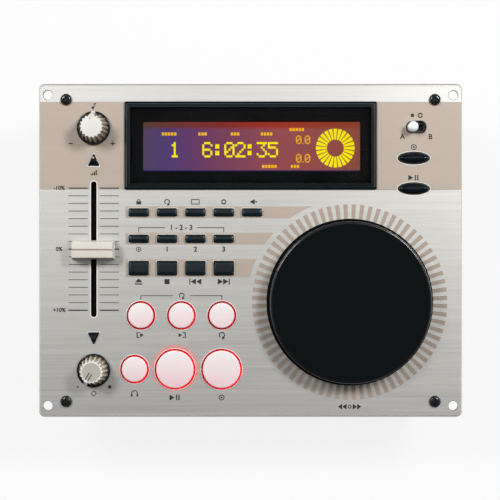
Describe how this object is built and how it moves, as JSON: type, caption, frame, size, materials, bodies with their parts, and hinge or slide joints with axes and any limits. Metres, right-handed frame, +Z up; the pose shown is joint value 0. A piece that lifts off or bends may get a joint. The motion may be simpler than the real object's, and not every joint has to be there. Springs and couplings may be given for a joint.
{
  "type": "dj disc player controller",
  "caption": "Table-top control unit for a DJ disc player: brushed faceplate with display, search wheel, pitch fader, knobs and lit transport buttons over a metal case.",
  "frame": {"origin": "under the middle of the faceplate, on the plane that the feet stand on", "axes": "+X to the right of the panel, +Y to its rear edge (top of the picture), +Z up out of the faceplate"},
  "size_m": [0.2092, 0.1644, 0.0656],
  "materials": {
    "plate": "horizontally brushed, clear anodised",
    "case": "fine black powder coat",
    "steel": "zinc plated",
    "screw": "black plated",
    "rubber": "moulded",
    "bezel": "gloss black",
    "window": "clear acrylic with a black mask",
    "display": "back-lit purple display with yellow figures",
    "board": "green solder mask",
    "bearing": "acetal",
    "black_part": "moulded",
    "cable": "grey ribbon",
    "button": "satin black",
    "gloss_button": "gloss black",
    "lit_button": "translucent white, lit red from below",
    "knob": "beige body on a black skirt",
    "fader_cap": "off-white moulding",
    "polished": "polished",
    "wheel": "satin black with a rubbed rim"
  },
  "bodies": {
    "case": {"faceplate": "plate", "case_frame": "case", "base_plate": "case", "foot_rear_right": "rubber", "foot_rear_left": "rubber", "foot_front_right": "rubber", "foot_front_left": "rubber", "faceplate_screw_rear_right": "screw", "faceplate_screw_rear_left": "screw", "faceplate_screw_front_right": "screw", "faceplate_screw_front_left": "screw", "display_bezel": "bezel", "display_window": "window", "display_module": "display", "button_board": "board", "pitch_board": "board", "select_board": "board", "main_board": "board", "key_pot_body": "steel", "focus_pot_body": "steel", "pitch_fader_body": "steel", "select_switch_body": "steel", "wheel_bearing": "bearing", "encoder_sensor": "black_part", "control_socket": "steel", "ribbon_cable": "cable"},
    "tempo_lock_button": {"tempo_lock_button": "button"},
    "repeat_button": {"repeat_button": "button"},
    "display_button": {"display_button": "button"},
    "ring_display_button": {"ring_display_button": "button"},
    "reverse_button": {"reverse_button": "button"},
    "memo_button": {"memo_button": "button"},
    "memory_1_button": {"memory_1_button": "button"},
    "memory_2_button": {"memory_2_button": "button"},
    "memory_3_button": {"memory_3_button": "button"},
    "open_close_button": {"open_close_button": "button"},
    "stop_button": {"stop_button": "button"},
    "skip_back_button": {"skip_back_button": "button"},
    "skip_forward_button": {"skip_forward_button": "button"},
    "loop_start_button": {"loop_start_button": "lit_button"},
    "loop_end_button": {"loop_end_button": "lit_button"},
    "reloop_button": {"reloop_button": "lit_button"},
    "monitor_button": {"monitor_button": "lit_button"},
    "play_pause_button": {"play_pause_button": "lit_button"},
    "cue_button": {"cue_button": "lit_button"},
    "player_cue_button": {"player_cue_button": "gloss_button"},
    "player_play_button": {"player_play_button": "gloss_button"},
    "pitch_bend_up_button": {"pitch_bend_up_button": "gloss_button"},
    "pitch_bend_down_button": {"pitch_bend_down_button": "gloss_button"},
    "key_knob": {"key_knob": "knob", "key_knob_shaft": "steel"},
    "focus_knob": {"focus_knob": "knob", "focus_knob_shaft": "steel"},
    "pitch_fader": {"pitch_fader_cap": "fader_cap", "pitch_fader_lever": "steel"},
    "select_knob": {"select_knob": "polished"},
    "search_wheel": {"search_wheel": "wheel", "wheel_shaft": "steel", "encoder_disc": "black_part"}
  },
  "joints": [
    {"name": "tempo_lock_press", "type": "slide", "parent": "case", "child": "tempo_lock_button", "axis": [0, 0, -1], "range_m": [0, 0.0005], "stiffness_N_per_m": 1500},
    {"name": "repeat_press", "type": "slide", "parent": "case", "child": "repeat_button", "axis": [0, 0, -1], "range_m": [0, 0.0005], "stiffness_N_per_m": 1500},
    {"name": "display_press", "type": "slide", "parent": "case", "child": "display_button", "axis": [0, 0, -1], "range_m": [0, 0.0005], "stiffness_N_per_m": 1500},
    {"name": "ring_display_press", "type": "slide", "parent": "case", "child": "ring_display_button", "axis": [0, 0, -1], "range_m": [0, 0.0005], "stiffness_N_per_m": 1500},
    {"name": "reverse_press", "type": "slide", "parent": "case", "child": "reverse_button", "axis": [0, 0, -1], "range_m": [0, 0.0005], "stiffness_N_per_m": 1500},
    {"name": "memo_press", "type": "slide", "parent": "case", "child": "memo_button", "axis": [0, 0, -1], "range_m": [0, 0.0005], "stiffness_N_per_m": 1500},
    {"name": "memory_1_press", "type": "slide", "parent": "case", "child": "memory_1_button", "axis": [0, 0, -1], "range_m": [0, 0.0005], "stiffness_N_per_m": 1500},
    {"name": "memory_2_press", "type": "slide", "parent": "case", "child": "memory_2_button", "axis": [0, 0, -1], "range_m": [0, 0.0005], "stiffness_N_per_m": 1500},
    {"name": "memory_3_press", "type": "slide", "parent": "case", "child": "memory_3_button", "axis": [0, 0, -1], "range_m": [0, 0.0005], "stiffness_N_per_m": 1500},
    {"name": "open_close_press", "type": "slide", "parent": "case", "child": "open_close_button", "axis": [0, 0, -1], "range_m": [0, 0.0005], "stiffness_N_per_m": 1500},
    {"name": "stop_press", "type": "slide", "parent": "case", "child": "stop_button", "axis": [0, 0, -1], "range_m": [0, 0.0005], "stiffness_N_per_m": 1500},
    {"name": "skip_back_press", "type": "slide", "parent": "case", "child": "skip_back_button", "axis": [0, 0, -1], "range_m": [0, 0.0005], "stiffness_N_per_m": 1500},
    {"name": "skip_forward_press", "type": "slide", "parent": "case", "child": "skip_forward_button", "axis": [0, 0, -1], "range_m": [0, 0.0005], "stiffness_N_per_m": 1500},
    {"name": "loop_start_press", "type": "slide", "parent": "case", "child": "loop_start_button", "axis": [0, 0, -1], "range_m": [0, 0.0005], "stiffness_N_per_m": 1500},
    {"name": "loop_end_press", "type": "slide", "parent": "case", "child": "loop_end_button", "axis": [0, 0, -1], "range_m": [0, 0.0005], "stiffness_N_per_m": 1500},
    {"name": "reloop_press", "type": "slide", "parent": "case", "child": "reloop_button", "axis": [0, 0, -1], "range_m": [0, 0.0005], "stiffness_N_per_m": 1500},
    {"name": "monitor_press", "type": "slide", "parent": "case", "child": "monitor_button", "axis": [0, 0, -1], "range_m": [0, 0.0005], "stiffness_N_per_m": 1500},
    {"name": "play_pause_press", "type": "slide", "parent": "case", "child": "play_pause_button", "axis": [0, 0, -1], "range_m": [0, 0.0005], "stiffness_N_per_m": 1500},
    {"name": "cue_press", "type": "slide", "parent": "case", "child": "cue_button", "axis": [0, 0, -1], "range_m": [0, 0.0005], "stiffness_N_per_m": 1500},
    {"name": "player_cue_press", "type": "slide", "parent": "case", "child": "player_cue_button", "axis": [0, 0, -1], "range_m": [0, 0.0005], "stiffness_N_per_m": 1500},
    {"name": "player_play_press", "type": "slide", "parent": "case", "child": "player_play_button", "axis": [0, 0, -1], "range_m": [0, 0.0005], "stiffness_N_per_m": 1500},
    {"name": "pitch_bend_up_press", "type": "slide", "parent": "case", "child": "pitch_bend_up_button", "axis": [0, 0, -1], "range_m": [0, 0.0005], "stiffness_N_per_m": 1500},
    {"name": "pitch_bend_down_press", "type": "slide", "parent": "case", "child": "pitch_bend_down_button", "axis": [0, 0, -1], "range_m": [0, 0.0005], "stiffness_N_per_m": 1500},
    {"name": "key_turn", "type": "hinge", "parent": "case", "child": "key_knob", "pos_m": [-0.07745, 0.0604, 0.0521], "axis": [0, 0, 1], "range_deg": [-150, 150]},
    {"name": "focus_turn", "type": "hinge", "parent": "case", "child": "focus_knob", "pos_m": [-0.07745, -0.0592, 0.0521], "axis": [0, 0, 1], "range_deg": [-300, 0]},
    {"name": "pitch_slide", "type": "slide", "parent": "case", "child": "pitch_fader", "axis": [0, 1, 0], "range_m": [-0.03, 0.03]},
    {"name": "select_slide", "type": "slide", "parent": "case", "child": "select_knob", "axis": [1, 0, 0], "range_m": [0, 0.0041]},
    {"name": "search_turn", "type": "hinge", "parent": "case", "child": "search_wheel", "pos_m": [0.04895, -0.0255, 0.0521], "axis": [0, 0, 1], "continuous": true}
  ]
}
